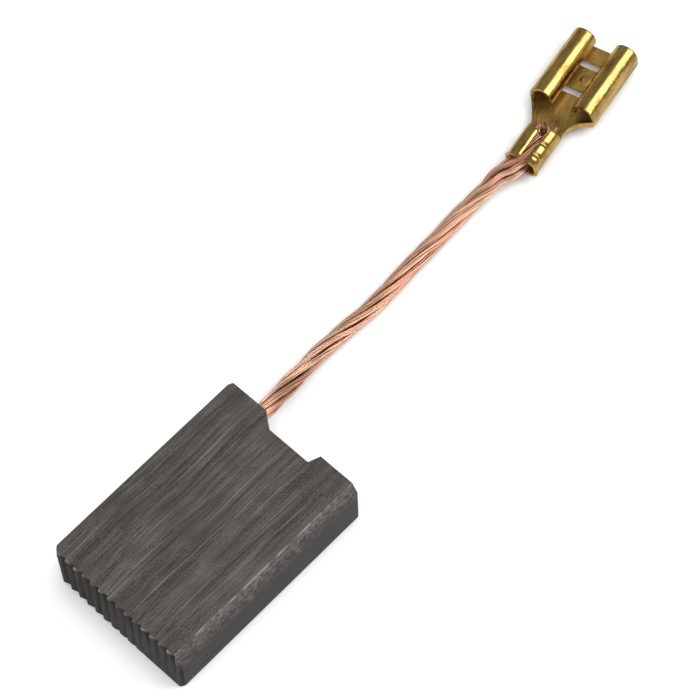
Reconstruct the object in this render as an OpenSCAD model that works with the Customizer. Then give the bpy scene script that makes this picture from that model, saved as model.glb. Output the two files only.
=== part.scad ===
// Carbon brush of a large angle grinder: a pressed carbon-graphite block, a bare
// copper rope tamped into its back face, and a folded brass receptacle crimped on
// the rope's far end. The block lies on one of its wide faces, with the origin under
// its middle. X runs from the toothed contact face to the back face, Z is up.

/* [Carbon block] */
// Length from the tooth tips to the back face
block_l = 23; // [18:0.5:32]
// Width between the two guided sides
block_w = 16; // [14:0.5:24]
// Thickness between the two wide faces
block_t = 6.3; // [5:0.1:9]
// Chamfer on the upright corners at the front right and the back left
corner_chamfer = 0.4; // [0.2:0.1:0.8]
// Chamfer on the upright corner at the front left, where the deepest teeth are
front_left_chamfer = 0.7; // [0.2:0.1:1]
// Chamfer on the upright corner at the back right
back_right_chamfer = 0.1; // [0.05:0.05:0.6]
// Chamfer on the three long edges that are not worn
edge_chamfer = 0.3; // [0.1:0.1:0.6]
// How far the worn long edge reaches in across the upper wide face
worn_edge_w = 0.7; // [0.3:0.1:1.2]
// How far the worn long edge reaches down the side
worn_edge_h = 1.3; // [0.3:0.1:2]

/* [Spring seat] */
// Depth of the notch that the brush spring presses into
seat_depth = 1.2; // [0.6:0.1:2]
// Width of the notch's flat floor
seat_floor_w = 4.8; // [3:0.1:6]
// Width of the sloping wall next to the cable
seat_ramp_w = 1.6; // [0.5:0.1:2]
// Width of the steep wall on the other side
seat_step_w = 0.45; // [0.2:0.05:1.5]
// Middle of the floor, to the left of the block's middle
seat_y = -0.5; // [-1.5:0.1:0]

/* [Contact face teeth] */
// Distance from one tooth tip to the next
tooth_pitch = 1.06; // [0.8:0.02:1.6]
// Depth of each groove at the upper face
tooth_depth = 0.28; // [0.1:0.02:0.5]
// Depth of the leftmost groove at the lower face
tooth_depth_low = 0.4; // [0.1:0.02:0.5]
// Share of the pitch taken by the steep flank
tooth_steep_share = 0.2; // [0.1:0.05:0.5]
// Distance from the right side to the first tip
tooth_margin = 0.45; // [0.3:0.05:1]

/* [Shunt cable] */
// Diameter of the copper rope
cable_d = 1.7; // [1.2:0.1:2]
// Middle of the cable hole, to the left of the block's middle
cable_y = 4.8; // [4.7:0.1:5.2]
// Thickness of the tamped powder between the rope and the blind hole
tamp_wall = 0.3; // [0.2:0.05:0.4]
// Depth of the blind hole
hole_depth = 7; // [4:0.5:10]
// How far the tamped powder stays below the back face
tamp_recess = 0.2; // [0:0.1:1]
// Gap between the rope and the powder, and between the powder and the hole
tamp_clearance = 0.01; // [0.01:0.01:0.05]

/* [Receptacle] */
// Width of the flat tab that the receptacle takes
tab_w = 6.3; // [5.8:0.1:7]
// Thickness of that tab
tab_t = 0.8; // [0.6:0.1:1]
// Room beside the tab on each side
tab_side_clearance = 0.1; // [0.1:0.05:0.4]
// Room above the tab
tab_top_clearance = 0.02; // [0.02:0.02:0.2]
// Thickness of the brass sheet
sheet = 0.35; // [0.25:0.05:0.45]
// Length of the rolled socket
socket_l = 8.4; // [7:0.1:9]
// Height of the socket over its rolls
socket_h = 2.7; // [2.4:0.1:3.2]
// Outer radius of each roll
roll_r = 1.25; // [1.2:0.05:1.5]
// Outer radius of the bends beside the socket floor
bend_r = 0.6; // [0.5:0.05:0.8]
// Length of the socket floor behind the first slot across it
rear_floor_l = 2.35; // [1.5:0.05:3]
// Length of each of the two slots across the socket floor
slot_l = 0.8; // [0.4:0.1:1.2]
// Width of those slots
slot_w = 4; // [2:0.1:5]
// Length of the bridge between the two slots
bridge_l = 2.65; // [1.8:0.05:3]
// Diameter of the latching dimple on the bridge
dimple_d = 1.2; // [0.8:0.1:1.6]
// Height of the dimple over the floor
dimple_h = 0.14; // [0.05:0.01:0.2]

/* [Neck and crimp] */
// Length of the flared neck between the crimp and the socket
neck_l = 3.2; // [2.6:0.1:6]
// How late the neck flares on its right, where 1 is a straight flare
neck_flare = 3.2; // [1.5:0.1:4]
// How far the neck draws in on its right before it flares
neck_waist = 0.2; // [0:0.05:0.4]
// How late the neck flares on its left
neck_left_flare = 1.3; // [1:0.1:4]
// Height of the neck's side walls where they meet the socket
neck_wall_h = 1.05; // [0.8:0.05:1.3]
// Length of the crimp barrel
barrel_l = 4.4; // [3:0.1:6]
// Room in the crimp beside the rope, on both sides together
crimp_side_room = 1; // [0.9:0.1:1.8]
// Room in the crimp above the rope
crimp_top_room = 0; // [0:0.05:0.4]
// Distance from the barrel's middle to the edge of the left wing
wing_left_edge = 0.2; // [0.1:0.05:0.4]
// The same to the right wing's edge, at the back of the barrel
wing_right_edge_back = 0.5; // [0.3:0.05:0.8]
// The same at the front of the barrel
wing_right_edge_front = 0.9; // [0.5:0.05:1]
// How much shorter the left wing is at its edge than at its root
wing_left_slant = 0.9; // [0:0.1:1.5]
// The same on the right wing
wing_right_slant = 0.3; // [0:0.1:1.5]
// How far each tool mark flattens the right shoulder's radius
tool_mark = 0.35; // [0:0.05:0.4]
// How far the barrel's back end opens out
bell = 0.1; // [0:0.02:0.2]

/* [Lie of the terminal] */
// Turn of the terminal to the left of the block's length
terminal_turn = 10.5; // [0:0.5:20]
// Lean of the terminal onto its left edge
terminal_lean = 8; // [0:0.5:15]

/* [Hidden] */
$fn = 64;
through = 1;
fuse_gap = 0.02;

front_x = -block_l / 2;
back_x = block_l / 2;
exit_z = block_t / 2;
hole_d = cable_d + 2 * tamp_wall;
groove_count = ceil((block_w - tooth_margin) / tooth_pitch);

// The terminal's own frame: X from the crimp's back end to the socket's mouth, Y to
// the left, Z up from the outside of the sheet.
socket_x = barrel_l + neck_l;
bridge_x = socket_x + rear_floor_l + slot_l + bridge_l / 2;
socket_half_w = tab_w / 2 + tab_side_clearance + sheet;
barrel_half_w = (cable_d + crimp_side_room) / 2 + sheet;
barrel_h = cable_d + crimp_top_room + 2 * sheet;
barrel_bend_r = 0.95;
// Height of the crimp's side walls at its front, above which the wings are cut back
crimp_wall_h = 1.02;
shoulder_r = 0.8;
right_shoulder_r = 1;
wing_tip_r = 0.5;
wing_tip_curl = 45;
crimp_axis_h = sheet + cable_d / 2;
// Height of the crimp's axis when the leaning terminal's left bend touches down
crimp_z = bend_r + (socket_half_w - bend_r) * sin(terminal_lean)
    + (crimp_axis_h - bend_r) * cos(terminal_lean);
crimp_from_exit = [37.3, 0.7];
mark_places = [0.26, 0.6];
mark_half_l = 0.28;
barrel_rings = 20;
neck_rings = 16;

// Route of the rope: it leaves the block straight, droops to the surface, lies on it
// and rises into the crimp. X and Y are measured from the cable's exit, Z from the
// surface. The last points are in the terminal's frame, along the crimp.
cable_r = cable_d / 2;
inside_block = [[-6.5, 0, exit_z], [-3, 0, exit_z]];
on_surface = [
    [0, 0, exit_z], [1.6, 0.05, exit_z - 0.15], [3.6, 0.35, 2.35], [6, 0.8, 1.5], [9, 1.15, 1],
    [12.2, 1.15, cable_r], [15.3, 0.95, cable_r], [18.6, 1, cable_r], [21.8, 1.25, cable_r],
    [25.1, 1.35, cable_r], [28.4, 1.5, 0.95], [31.6, 1.5, 1.15], [33.3, 1.2, 1.35],
    [34.9, 1.2, 1.5]
];
inside_crimp = [[-1.2, 0.45], [0.4, 0.3], [2.4, 0.1], [4.4, -0.1]];
cable_sides = 8;

// A point at the start of the route, moved from the cable's exit to the part's frame
function from_exit(p) = [back_x + p[0], cable_y + p[1], p[2]];

// A point on the crimp's axis plane, moved from the terminal's frame to the part's
function in_crimp(p) =
    let (
        side = p[1] * cos(terminal_lean),
        x = crimp_from_exit[0] + p[0] * cos(terminal_turn) - side * sin(terminal_turn),
        y = crimp_from_exit[1] + p[0] * sin(terminal_turn) + side * cos(terminal_turn)
    )
    from_exit([x, y, crimp_z - p[1] * sin(terminal_lean)]);

cable_route = concat(
    [for (p = inside_block) from_exit(p)],
    [for (p = on_surface) from_exit(p)],
    [for (p = inside_crimp) in_crimp(p)]
);

// Points along one bend of a sheet: [centre x, centre y, outer radius, from, to, steps]
function bend_points(b, inset) = [
    for (k = [0:b[5]])
        let (a = b[3] + (b[4] - b[3]) * k / max(b[5], 1))
        [b[0] + (b[2] - inset) * cos(a), b[1] + (b[2] - inset) * sin(a)]
];

// Closed outline of a bent strip: its outer face one way, its inner face back again
function strip_outline(bends, outer_inset, inner_inset) =
    let (
        outside = [for (b = bends) each bend_points(b, outer_inset)],
        inside = [for (b = bends) each bend_points(b, inner_inset)],
        last = len(inside) - 1
    )
    concat(outside, [for (i = [last:-1:0]) inside[i]]);

// Faces of a skin over rings of n points each. The ends are closed in strips from side
// to side, which suits a bent strip as well as a round tube.
function skin_faces(n, rings) = concat(
    [for (i = [0:n / 2 - 2]) [n - 1 - i, n - 2 - i, i + 1, i]],
    [for (r = [0:rings - 2], i = [0:n - 1])
        let (j = (i + 1) % n)
        each [
            [r * n + i, r * n + j, (r + 1) * n + i],
            [r * n + j, (r + 1) * n + j, (r + 1) * n + i]
        ]
    ],
    [for (i = [0:n / 2 - 2])
        let (end = (rings - 1) * n)
        [end + i, end + i + 1, end + n - 2 - i, end + n - 1 - i]
    ]
);

// Solid skin over upright sections: each section is [x, outline in y and z]
module loft(sections) {
    n = len(sections[0][1]);
    points = [for (s = sections) each [for (p = s[1]) [s[0], p[0], p[1]]]];
    polyhedron(points = points, faces = skin_faces(n, len(sections)), convexity = 10);
}

// Round tube through the points of a route, with one ring at each point
module tube(route, r, sides) {
    last = len(route) - 1;
    points = [
        for (i = [0:last])
            let (
                along = route[min(i + 1, last)] - route[max(i - 1, 0)],
                t = along / norm(along),
                side = cross([0, 0, 1], t) / norm(cross([0, 0, 1], t)),
                up = cross(t, side)
            )
            each [
                for (k = [0:sides - 1])
                    let (a = (k + 0.5) * 360 / sides)
                    route[i] + r * (cos(a) * side + sin(a) * up)
            ]
    ];
    polyhedron(points = points, faces = skin_faces(sides, last + 1), convexity = 4);
}

// Outline of the block seen from above, with the spring seat cut into its back face
module block_outline() {
    left = block_w / 2;
    c = corner_chamfer;
    deep = front_left_chamfer;
    slight = back_right_chamfer;
    ramp_y = seat_y + seat_floor_w / 2;
    step_y = seat_y - seat_floor_w / 2;
    polygon([
        [front_x + deep, left], [back_x - c, left], [back_x, left - c],
        [back_x, ramp_y + seat_ramp_w], [back_x - seat_depth, ramp_y],
        [back_x - seat_depth, step_y], [back_x, step_y - seat_step_w],
        [back_x, slight - left], [back_x - slight, -left], [front_x + c, -left],
        [front_x, c - left], [front_x, left - deep]
    ]);
}

// Section of the block across its length, with its chamfered and worn edges
module block_section() {
    half = block_w / 2;
    e = edge_chamfer;
    polygon([
        [-half, e], [e - half, 0], [half - e, 0], [half, e],
        [half, block_t - e], [half - e, block_t],
        [worn_edge_w - half, block_t], [-half, block_t - worn_edge_h]
    ]);
}

// One saw-tooth groove: a steep flank on its right, a long shallow one on its left.
// It leans, so that it is tooth_depth deep at the upper face and low_depth below.
module tooth_groove(right_y, low_depth) {
    reach = 2;
    steep = tooth_pitch * tooth_steep_share;
    translate([front_x + low_depth, right_y + steep, 0])
        rotate([0, atan((tooth_depth - low_depth) / block_t), 0])
            translate([0, 0, -through])
                linear_extrude(block_t + 2 * through)
                    polygon([
                        [0, 0],
                        [-reach * tooth_depth, -reach * steep],
                        [-reach * tooth_depth, reach * (tooth_pitch - steep)]
                    ]);
}

module carbon_block() {
    color("#4a4745")
        difference() {
            intersection() {
                linear_extrude(block_t) block_outline();
                rotate([90, 0, 90])
                    translate([0, 0, -block_l])
                        linear_extrude(2 * block_l) block_section();
            }
            for (i = [0:groove_count - 1]) {
                from_left = (groove_count - 1 - i) / (groove_count - 3);
                tooth_groove(
                    tooth_margin - block_w / 2 + i * tooth_pitch,
                    tooth_depth_low * (1 - from_left)
                );
            }
            translate([back_x - hole_depth, cable_y, exit_z])
                rotate([0, 90, 0]) cylinder(d = hole_d, h = hole_depth + through);
        }
}

// Copper powder tamped round the rope in the blind hole
module tamping_plug() {
    plug_l = hole_depth - tamp_recess - tamp_clearance;
    color("#8a5a44")
        translate([back_x - hole_depth + tamp_clearance, cable_y, exit_z])
            rotate([0, 90, 0])
                difference() {
                    cylinder(d = hole_d - 2 * tamp_clearance, h = plug_l);
                    translate([0, 0, hole_depth + inside_block[0][0] - 2 * tamp_clearance])
                        cylinder(d = cable_d + 2 * tamp_clearance, h = plug_l);
                }
}

module shunt_cable() {
    color("#c98a6a") tube(cable_route, cable_r, cable_sides);
}

// Rolled socket: floor, two bends, two side walls and the rolls that hold the tab
module socket() {
    roll_y = socket_half_w - roll_r;
    roll_z = socket_h - roll_r;
    lip = 180 + asin((roll_z - sheet - tab_t - tab_top_clearance) / roll_r);
    bend_y = socket_half_w - bend_r;
    bends = [
        [roll_y, roll_z, roll_r, lip, 0, 16], [bend_y, bend_r, bend_r, 0, -90, 6],
        [-bend_y, bend_r, bend_r, -90, -180, 6], [-roll_y, roll_z, roll_r, -180, -180 - lip, 16]
    ];
    translate([socket_x, 0, 0])
        rotate([90, 0, 90])
            linear_extrude(socket_l) polygon(strip_outline(bends, 0, sheet));
}

// Slots across the socket floor, on both sides of the bridge
module floor_slots() {
    for (side = [-1, 1])
        translate([bridge_x + side * (bridge_l + slot_l) / 2, 0, sheet / 2])
            cube([slot_l, slot_w, sheet + through / 2], center = true);
}

// Cap of a ball whose flat base is dimple_d across and whose top is at top_z
module dimple_cap(top_z) {
    ball_r = (pow(dimple_d / 2, 2) + pow(dimple_h, 2)) / (2 * dimple_h);
    translate([bridge_x, 0, 0])
        intersection() {
            translate([0, 0, top_z - ball_r]) sphere(r = ball_r);
            translate([-dimple_d, -dimple_d, top_z - 2 * dimple_h])
                cube([2 * dimple_d, 2 * dimple_d, 3 * dimple_h]);
        }
}

// Half width of the neck at s, which runs from 0 at the crimp to 1 at the socket
function neck_half_w(s, flare, waist) =
    barrel_half_w + (socket_half_w - barrel_half_w) * pow(s, flare)
    - waist * sin(180 * s) * (1 - s);

// Trough section of the neck at s. It is a hair inside the sheet of the crimp and the
// socket, so that its ends can run into them and fuse.
function neck_outline(s) =
    let (
        r = barrel_bend_r + (bend_r - barrel_bend_r) * s,
        wall_h = crimp_wall_h + (neck_wall_h - crimp_wall_h) * s,
        left_y = neck_half_w(s, neck_left_flare, 0) - r,
        right_y = r - neck_half_w(s, neck_flare, neck_waist)
    )
    strip_outline([
        [left_y, wall_h, r, 0, 0, 0], [left_y, r, r, 0, -90, 6],
        [right_y, r, r, -90, -180, 6], [right_y, wall_h, r, -180, -180, 0]
    ], fuse_gap, sheet - fuse_gap);

module neck() {
    run_in = 10 * fuse_gap;
    loft(concat(
        [[barrel_l - run_in, neck_outline(0)]],
        [for (k = [0:neck_rings]) [barrel_l + neck_l * k / neck_rings, neck_outline(k / neck_rings)]],
        [[socket_x + run_in, neck_outline(1)]]
    ));
}

// Flattening of the right shoulder at x by the crimping tool's teeth
function mark_at(x) = tool_mark * max([
    for (m = mark_places) pow(max(0, 1 - abs(x - m * barrel_l) / mark_half_l), 0.7)
]);

// Section of the crimp at x: the right wing curls over, the left wing lies flat on top
function barrel_outline(x) =
    let (
        open = bell * pow(max(0, 1 - x / 0.6), 2),
        half = barrel_half_w + open,
        top = barrel_h + open,
        mark_r = right_shoulder_r + mark_at(x),
        share = x / barrel_l,
        right_edge = wing_right_edge_back
            + (wing_right_edge_front - wing_right_edge_back) * share,
        right_curl = asin((half - mark_r - right_edge) / mark_r),
        tip_y = wing_left_edge + wing_tip_r * sin(wing_tip_curl)
    )
    strip_outline([
        [tip_y, top - wing_tip_r, wing_tip_r, 90 + wing_tip_curl, 90, 4],
        [half - shoulder_r, top - shoulder_r, shoulder_r, 90, 0, 7],
        [half - barrel_bend_r, barrel_bend_r, barrel_bend_r, 0, -90, 7],
        [barrel_bend_r - half, barrel_bend_r, barrel_bend_r, -90, -180, 7],
        [mark_r - half, top - mark_r, mark_r, -180, -270 - right_curl, 8]
    ], 0, sheet);

// Wedge that cuts one wing's front end at a slant, from its root to its edge
module wing_front_cut(side, slant) {
    outer_y = side * (barrel_half_w + through);
    translate([0, 0, crimp_wall_h + fuse_gap])
        linear_extrude(barrel_h)
            polygon([
                [barrel_l - slant, 0], [barrel_l, side * barrel_half_w],
                [barrel_l + through, outer_y], [barrel_l + through, 0]
            ]);
}

module crimp_barrel() {
    difference() {
        loft([
            for (k = [0:barrel_rings])
                let (x = barrel_l * k / barrel_rings) [x, barrel_outline(x)]
        ]);
        wing_front_cut(1, wing_left_slant);
        wing_front_cut(-1, wing_right_slant);
    }
}

// Places the terminal's own frame: leaning on its left bend, turned, at the rope's end
module terminal_place() {
    translate(from_exit([crimp_from_exit[0], crimp_from_exit[1], crimp_z]))
        rotate([0, 0, terminal_turn])
            rotate([-terminal_lean, 0, 0])
                translate([0, 0, -crimp_axis_h]) children();
}

module spade_terminal() {
    color("#c9a24a")
        terminal_place() {
            difference() {
                union() {
                    difference() {
                        socket();
                        floor_slots();
                    }
                    dimple_cap(sheet + dimple_h);
                }
                dimple_cap(dimple_h);
            }
            neck();
            crimp_barrel();
        }
}

carbon_block();
tamping_plug();
shunt_cable();
spade_terminal();
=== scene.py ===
import math

import bpy
import numpy as np
from mathutils import Matrix, Vector


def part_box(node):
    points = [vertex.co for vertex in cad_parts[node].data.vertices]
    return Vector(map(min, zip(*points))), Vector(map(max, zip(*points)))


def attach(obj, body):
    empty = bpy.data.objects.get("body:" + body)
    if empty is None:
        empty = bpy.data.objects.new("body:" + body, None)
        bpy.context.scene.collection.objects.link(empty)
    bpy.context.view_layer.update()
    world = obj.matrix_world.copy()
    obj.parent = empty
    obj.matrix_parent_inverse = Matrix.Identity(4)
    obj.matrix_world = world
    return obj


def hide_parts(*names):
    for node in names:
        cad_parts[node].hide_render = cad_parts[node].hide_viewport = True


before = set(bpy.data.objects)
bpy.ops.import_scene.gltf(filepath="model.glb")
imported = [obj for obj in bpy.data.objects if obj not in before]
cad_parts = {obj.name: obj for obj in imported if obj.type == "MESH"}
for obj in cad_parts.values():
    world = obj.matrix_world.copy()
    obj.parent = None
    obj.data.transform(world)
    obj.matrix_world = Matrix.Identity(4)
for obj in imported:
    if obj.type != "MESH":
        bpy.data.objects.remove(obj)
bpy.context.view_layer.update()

bl_info = {
    "name": "Carbon Brush Workshop",
    "version": (1, 0, 0),
    "blender": (4, 5, 0),
    "location": "3D View > Sidebar > Carbon Brush",
    "description": "Finishes the parts of a carbon brush with a rope and a receptacle",
    "category": "Object",
}

MM = 0.001

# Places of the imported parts, in millimetres, with X along the block and Z up.
BLOCK_LOW, BLOCK_HIGH = [Vector(c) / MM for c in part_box("carbon_block")]
ROPE_EXIT = Vector((BLOCK_HIGH.x, 4.8, BLOCK_HIGH.z / 2))
CRIMP_START = Vector((37.3, 0.7))
CRIMP_AXIS_H = 1.2
TERMINAL_TURN = math.radians(10.5)
TERMINAL_LEAN = math.radians(8)
SOCKET_HALF = 3.6
BEND_R = 0.6
CRIMP_Z = (
    BEND_R
    + (SOCKET_HALF - BEND_R) * math.sin(TERMINAL_LEAN)
    + (CRIMP_AXIS_H - BEND_R) * math.cos(TERMINAL_LEAN)
)

# Route of the rope from its exit, in millimetres: X and Y from the exit, Z from the
# surface, and then along the crimp in the terminal's own frame.
ROPE_R = 0.85
ROPE_ROUTE = [
    (-3, 0, ROPE_EXIT.z), (0, 0, ROPE_EXIT.z), (1.6, 0.05, ROPE_EXIT.z - 0.15),
    (3.6, 0.35, 2.35), (6, 0.8, 1.5), (9, 1.15, 1), (12.2, 1.15, ROPE_R),
    (15.3, 0.95, ROPE_R), (18.6, 1, ROPE_R), (21.8, 1.25, ROPE_R), (25.1, 1.35, ROPE_R),
    (28.4, 1.5, 0.95), (31.6, 1.5, 1.15), (33.3, 1.2, 1.35), (34.9, 1.2, 1.5),
]
ROPE_IN_CRIMP = [(-1.2, 0.45), (0.4, 0.3), (2.4, 0.1), (4.4, -0.1)]


def terminal_matrix():
    """The terminal's own frame, in millimetres, from the crimp's back end."""
    start = ROPE_EXIT + Vector((CRIMP_START.x, CRIMP_START.y, 0))
    start.z = CRIMP_Z
    return (
        Matrix.Translation(start)
        @ Matrix.Rotation(TERMINAL_TURN, 4, "Z")
        @ Matrix.Rotation(-TERMINAL_LEAN, 4, "X")
        @ Matrix.Translation((0, 0, -CRIMP_AXIS_H))
    )


TERMINAL = terminal_matrix()


def linear(code):
    """sRGB hex to linear RGB."""
    values = [int(code[i:i + 2], 16) / 255 for i in (1, 3, 5)]
    return tuple(v / 12.92 if v <= 0.04045 else ((v + 0.055) / 1.055) ** 2.4 for v in values)


def rgba(colour):
    return (*colour, 1.0)


# ---------------------------------------------------------------- materials

def add(tree, kind, inputs=None, **settings):
    """Adds a node with its settings, and links or sets its inputs."""
    new = tree.nodes.new(kind)
    for name, value in settings.items():
        setattr(new, name, value)
    for key, value in (inputs or {}).items():
        if isinstance(value, bpy.types.NodeSocket):
            tree.links.new(value, new.inputs[key])
        else:
            new.inputs[key].default_value = value
    return new


def start_material(name):
    material = bpy.data.materials.new(name)
    material.use_nodes = True
    return material, material.node_tree, material.node_tree.nodes["Principled BSDF"]


def put_material(piece, material):
    piece.data.materials.clear()
    piece.data.materials.append(material)


def graphite(colours):
    """Pressed carbon-graphite, ground along its length: matt, dark and streaky, with a
    soft sheen, light dust in its scratches, painted shade on its right side and deep in
    the grooves of its contact face, and a painted highlight along its top edges."""
    material, tree, shader = start_material("pressed_carbon_graphite")
    where = add(tree, "ShaderNodeTexCoord")
    place, facing = where.outputs["Object"], where.outputs["Normal"]
    xyz = add(tree, "ShaderNodeSeparateXYZ", {0: place}).outputs
    nxyz = add(tree, "ShaderNodeSeparateXYZ", {0: facing}).outputs

    # Grinding scratches 0.09 mm wide and 6 mm long, wandering a little off the straight
    sway = add(tree, "ShaderNodeTexNoise", {"Vector": place, "Scale": 120.0, "Detail": 1.0})
    swayed = add(tree, "ShaderNodeMix", {
        0: 0.0006, 4: place, 5: sway.outputs[1]}, data_type="VECTOR")
    lines = add(tree, "ShaderNodeMapping", {
        "Vector": swayed.outputs[1], "Scale": (170, 11000, 2500)})
    fine = add(tree, "ShaderNodeTexNoise", {
        "Vector": lines.outputs[0], "Scale": 1.0, "Detail": 4.0, "Roughness": 0.75})
    bands = add(tree, "ShaderNodeMapping", {"Vector": swayed.outputs[1], "Scale": (90, 1300, 1300)})
    streak = add(tree, "ShaderNodeTexNoise", {
        "Vector": bands.outputs[0], "Scale": 1.0, "Detail": 3.0, "Roughness": 0.6})
    # Crossing strokes that show in patches, most of them near the contact face
    turned = add(tree, "ShaderNodeMapping", {
        "Vector": swayed.outputs[1], "Rotation": (0, 0, math.radians(38)),
        "Scale": (450, 9500, 2500)})
    cross = add(tree, "ShaderNodeTexNoise", {
        "Vector": turned.outputs[0], "Scale": 1.0, "Detail": 3.0, "Roughness": 0.7})
    # A few long light scratches, 0.15 mm wide and 13 mm long
    long_lines = add(tree, "ShaderNodeMapping", {
        "Vector": swayed.outputs[1], "Location": (3, 5, 0), "Scale": (75, 6500, 1500)})
    long_cut = add(tree, "ShaderNodeTexNoise", {
        "Vector": long_lines.outputs[0], "Scale": 1.0, "Detail": 1.0})
    # Grain of the pressed powder, 0.1 mm, and clouds 3 mm across
    grain = add(tree, "ShaderNodeTexNoise", {
        "Vector": place, "Scale": 9500.0, "Detail": 2.0, "Roughness": 0.8})
    cloud = add(tree, "ShaderNodeTexNoise", {"Vector": place, "Scale": 330.0, "Detail": 3.0})
    patch = add(tree, "ShaderNodeTexNoise", {"Vector": place, "Scale": 420.0, "Detail": 2.0})
    near_front = add(tree, "ShaderNodeMapRange", {
        0: xyz[0], 1: -2 * MM, 2: -11 * MM, 3: -0.1, 4: 0.12})
    patch_sum = add(tree, "ShaderNodeMath", {0: patch.outputs[0], 1: near_front.outputs[0]})
    crossed = add(tree, "ShaderNodeMapRange", {0: patch_sum.outputs[0], 1: 0.5, 2: 0.62})

    fine_f = add(tree, "ShaderNodeMapRange", {
        0: fine.outputs[0], 1: 0.4, 2: 0.6, 3: -1.0, 4: 1.0})
    cross_f = add(tree, "ShaderNodeMapRange", {
        0: cross.outputs[0], 1: 0.4, 2: 0.6, 3: -1.0, 4: 1.0})
    ground = add(tree, "ShaderNodeMix", {
        0: crossed.outputs[0], 2: fine_f.outputs[0], 3: cross_f.outputs[0]}, data_type="FLOAT")
    streak_f = add(tree, "ShaderNodeMapRange", {
        0: streak.outputs[0], 1: 0.38, 2: 0.62, 3: -0.7, 4: 0.7})
    grain_f = add(tree, "ShaderNodeMapRange", {
        0: grain.outputs[0], 1: 0.38, 2: 0.62, 3: -1.1, 4: 1.1})
    both = add(tree, "ShaderNodeMath", {0: ground.outputs[0], 1: streak_f.outputs[0]})
    three = add(tree, "ShaderNodeMath", {0: both.outputs[0], 1: grain_f.outputs[0]})
    tone = add(tree, "ShaderNodeMapRange", {0: three.outputs[0], 1: -2.2, 2: 2.2})
    top = add(tree, "ShaderNodeMix", {
        0: tone.outputs[0], 6: rgba(colours.dark), 7: rgba(colours.light)}, data_type="RGBA")
    cloud_f = add(tree, "ShaderNodeMapRange", {
        0: cloud.outputs[0], 1: 0.42, 2: 0.62, 3: 0.0, 4: 0.45})
    clouded = add(tree, "ShaderNodeMix", {
        0: cloud_f.outputs[0], 6: top.outputs[2], 7: rgba(colours.tint)}, data_type="RGBA")
    # Sparse bright grains and the long scratches
    grain_hit = add(tree, "ShaderNodeMapRange", {
        0: grain.outputs[0], 1: 0.62, 2: 0.72, 3: 0.0, 4: 0.6})
    long_hit = add(tree, "ShaderNodeMapRange", {
        0: long_cut.outputs[0], 1: 0.66, 2: 0.72, 3: 0.0, 4: 0.5})
    bright = add(tree, "ShaderNodeMath", {
        0: grain_hit.outputs[0], 1: long_hit.outputs[0]}, operation="MAXIMUM")
    body = add(tree, "ShaderNodeMix", {
        0: bright.outputs[0], 6: clouded.outputs[2], 7: rgba(colours.worn)}, data_type="RGBA")

    # The right side, facing -Y, is painted darker as painted shade of that face
    shaded_side_mask = add(tree, "ShaderNodeMapRange", {0: nxyz[1], 1: -0.6, 2: -0.97})
    shaded_side_share = add(tree, "ShaderNodeMath", {
        0: shaded_side_mask.outputs[0], 1: 0.8}, operation="MULTIPLY")
    with_shaded_side = add(tree, "ShaderNodeMix", {
        0: shaded_side_share.outputs[0], 6: body.outputs[2], 7: rgba(colours.side)}, data_type="RGBA")
    # The contact face is darker still, and painted darker with depth into its grooves as painted
    # shade, with leaning streaks of painted shade on the groove flanks
    groove_shade_depth = add(tree, "ShaderNodeMapRange", {
        0: xyz[0], 1: (BLOCK_LOW.x + 0.02) * MM, 2: (BLOCK_LOW.x + 0.22) * MM})
    leaning_shade_place = add(tree, "ShaderNodeMapping", {
        "Vector": place, "Rotation": (math.radians(12), 0, 0), "Scale": (2000, 4000, 260)})
    leaning_shade_noise = add(tree, "ShaderNodeTexNoise", {
        "Vector": leaning_shade_place.outputs[0], "Scale": 1.0, "Detail": 3.0, "Roughness": 0.6})
    leaning_shade = add(tree, "ShaderNodeMapRange", {
        0: leaning_shade_noise.outputs[0], 1: 0.38, 2: 0.62, 3: -0.35, 4: 0.35})
    groove_shade = add(tree, "ShaderNodeMath", {
        0: groove_shade_depth.outputs[0], 1: leaning_shade.outputs[0]}, use_clamp=True)
    face = add(tree, "ShaderNodeMix", {
        0: groove_shade.outputs[0], 6: rgba(colours.tips), 7: rgba(colours.front)}, data_type="RGBA")
    on_front = add(tree, "ShaderNodeMapRange", {0: nxyz[0], 1: -0.3, 2: -0.6})
    fronted = add(tree, "ShaderNodeMix", {
        0: on_front.outputs[0], 6: with_shaded_side.outputs[2], 7: face.outputs[2]}, data_type="RGBA")

    # Rubbed strip down the worn long edge: its reach varies, and it breaks into specks
    ragged = add(tree, "ShaderNodeTexNoise", {"Vector": place, "Scale": 900.0, "Detail": 4.0})
    strokes = add(tree, "ShaderNodeMapping", {
        "Vector": place, "Rotation": (0, math.radians(35), 0), "Scale": (1500, 1200, 3800)})
    specks = add(tree, "ShaderNodeTexNoise", {
        "Vector": strokes.outputs[0], "Scale": 1.0, "Detail": 5.0, "Roughness": 0.85})
    reach = add(tree, "ShaderNodeMath", {
        0: ragged.outputs[0], 1: -2.4 * MM, 2: xyz[2]}, operation="MULTIPLY_ADD")
    down = add(tree, "ShaderNodeMapRange", {
        0: reach.outputs[0], 1: BLOCK_HIGH.z * MM - 3.4 * MM, 2: BLOCK_HIGH.z * MM - 1.3 * MM})
    outside = add(tree, "ShaderNodeMapRange", {
        0: xyz[1], 1: (BLOCK_LOW.y + 0.85) * MM, 2: (BLOCK_LOW.y + 0.6) * MM})
    rubbed = add(tree, "ShaderNodeMath", {
        0: down.outputs[0], 1: outside.outputs[0]}, operation="MULTIPLY")
    speck_f = add(tree, "ShaderNodeMapRange", {
        0: specks.outputs[0], 1: 0.42, 2: 0.72, 3: 0.0, 4: 0.9})
    worn = add(tree, "ShaderNodeMath", {
        0: rubbed.outputs[0], 1: speck_f.outputs[0]}, operation="MULTIPLY")
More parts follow.
